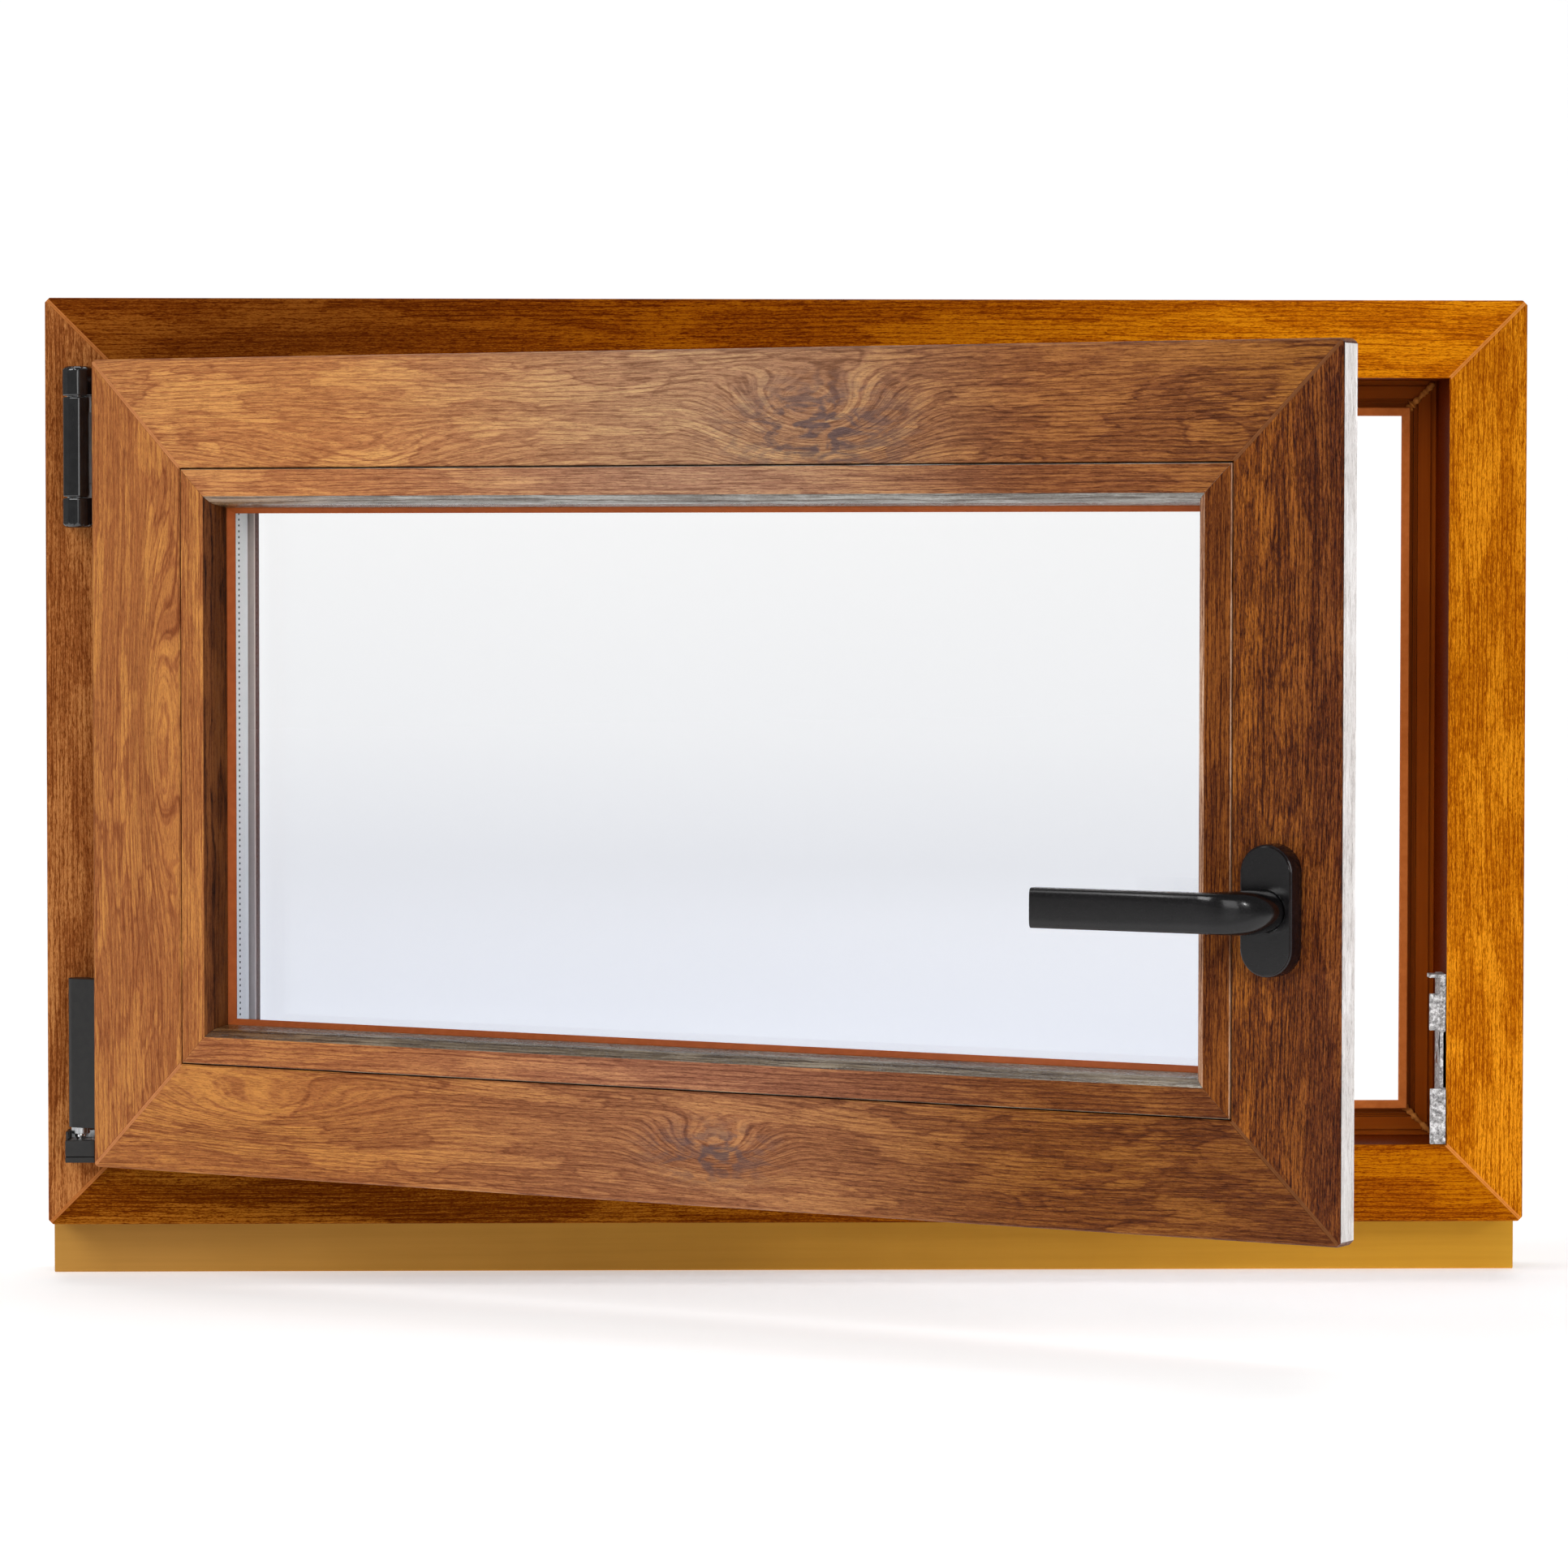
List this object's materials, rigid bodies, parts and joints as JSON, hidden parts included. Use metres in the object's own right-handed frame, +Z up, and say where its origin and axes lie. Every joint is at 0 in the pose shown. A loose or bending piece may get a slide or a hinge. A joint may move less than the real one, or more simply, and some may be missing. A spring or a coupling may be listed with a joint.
{
  "type": "tilt and turn casement window",
  "caption": "Inward-opening casement window: mitred wood-look frame and sash, insulating glass, tilt and turn hinges, lever handle and rods.",
  "frame": {"origin": "centre of the underside of the base profile, at the middle of the frame's depth", "axes": "+X from the hinge side to the lock side, +Y from the room to the outside, +Z up"},
  "size_m": [0.8, 0.4978, 0.53],
  "materials": {
    "frame_foil": "embossed golden oak foil on uPVC",
    "sash_foil": "embossed golden oak foil on uPVC",
    "base_plastic": "smooth ochre uPVC",
    "brown_plastic": "smooth",
    "galvanised_steel": "galvanised",
    "gasket_rubber": "matt brown",
    "zinc_steel": "zinc plated",
    "zinc_casting": "granular zinc casting",
    "bright_steel": "bright",
    "gloss_cover": "gloss black",
    "satin_cover": "satin black",
    "handle_bronze": "satin dark bronze",
    "clear_glass": "clear float",
    "spacer_metal": "perforated",
    "sealant": "matt",
    "packer_plastic": "moulded"
  },
  "bodies": {
    "frame": {"frame_head": "frame_foil", "frame_sill": "frame_foil", "frame_hinge_jamb": "frame_foil", "frame_lock_jamb": "frame_foil", "base_profile": "base_plastic", "frame_reinforcement": "galvanised_steel", "frame_gasket": "gasket_rubber", "drain_caps": "brown_plastic", "stay_bearing": "zinc_steel", "stay_bearing_caps": "gloss_cover", "stay_bearing_pin": "bright_steel", "corner_bearing": "zinc_steel", "corner_bearing_cap": "satin_cover", "tilt_strike": "zinc_casting", "head_strike": "zinc_casting", "sill_strike": "zinc_casting", "strike_screws": "bright_steel"},
    "pivot": {"pivot_pin": "bright_steel"},
    "stay": {"stay_arm": "zinc_steel", "stay_arm_cover": "gloss_cover"},
    "sash": {"sash_top_rail": "sash_foil", "sash_bottom_rail": "sash_foil", "sash_hinge_stile": "sash_foil", "sash_lock_stile": "sash_foil", "sash_reinforcement": "galvanised_steel", "sash_gasket": "gasket_rubber", "bead_top": "sash_foil", "bead_bottom": "sash_foil", "bead_hinge": "sash_foil", "bead_lock": "sash_foil", "bead_gasket": "gasket_rubber", "outer_glazing_gasket": "gasket_rubber", "inner_pane": "clear_glass", "outer_pane": "clear_glass", "glass_spacer": "spacer_metal", "edge_sealant": "sealant", "glazing_packers": "packer_plastic", "hinge_band": "zinc_steel", "hinge_band_cover": "satin_cover", "lock_faceplate": "zinc_steel", "top_faceplate": "zinc_steel", "bottom_faceplate": "zinc_steel", "corner_drives": "zinc_steel", "gearbox_case": "zinc_steel", "gearbox_screws": "bright_steel", "rosette_base": "zinc_steel", "rosette_cover": "handle_bronze"},
    "handle": {"handle_lever": "handle_bronze", "spindle": "zinc_steel", "pinion": "zinc_steel"},
    "lock_drive": {"lock_rod": "zinc_steel", "lock_cam": "bright_steel"},
    "top_drive": {"top_rod": "zinc_steel", "top_cam": "bright_steel"},
    "bottom_drive": {"bottom_rod": "zinc_steel", "bottom_cam": "bright_steel"}
  },
  "joints": [
    {"name": "turn", "type": "hinge", "parent": "frame", "child": "pivot", "pos_m": [-0.3815, -0.046, 0.08], "axis": [0, 0, -1], "range_deg": [-31.4, 58.6]},
    {"name": "tilt", "type": "hinge", "parent": "pivot", "child": "sash", "pos_m": [-0.3815, -0.046, 0.08], "axis": [0.8536, -0.521, 0], "range_deg": [0, 10]},
    {"name": "stay_swing", "type": "hinge", "parent": "pivot", "child": "stay", "pos_m": [-0.3815, -0.046, 0.46], "axis": [0, 0, -1], "range_deg": [0, 14.1]},
    {"name": "handle_turn", "type": "hinge", "parent": "sash", "child": "handle", "pos_m": [0.22145, -0.42575, 0.224], "axis": [-0.521, -0.8536, 0], "range_deg": [-90, 90]},
    {"name": "lock_slide", "type": "slide", "parent": "sash", "child": "lock_drive", "axis": [0, 0, 1], "range_m": [-0.0165, 0.0165]},
    {"name": "top_slide", "type": "slide", "parent": "sash", "child": "top_drive", "axis": [-0.8536, 0.521, 0], "range_m": [-0.0165, 0.0165]},
    {"name": "bottom_slide", "type": "slide", "parent": "sash", "child": "bottom_drive", "axis": [0.8536, -0.521, 0], "range_m": [-0.0165, 0.0165]}
  ],
  "couplings": [
    {"joint": "stay_swing", "follows": "tilt", "ratio": 1.407},
    {"joint": "lock_slide", "follows": "handle_turn", "m_per_rad": 0.0105},
    {"joint": "top_slide", "follows": "handle_turn", "m_per_rad": 0.0105},
    {"joint": "bottom_slide", "follows": "handle_turn", "m_per_rad": 0.0105}
  ]
}
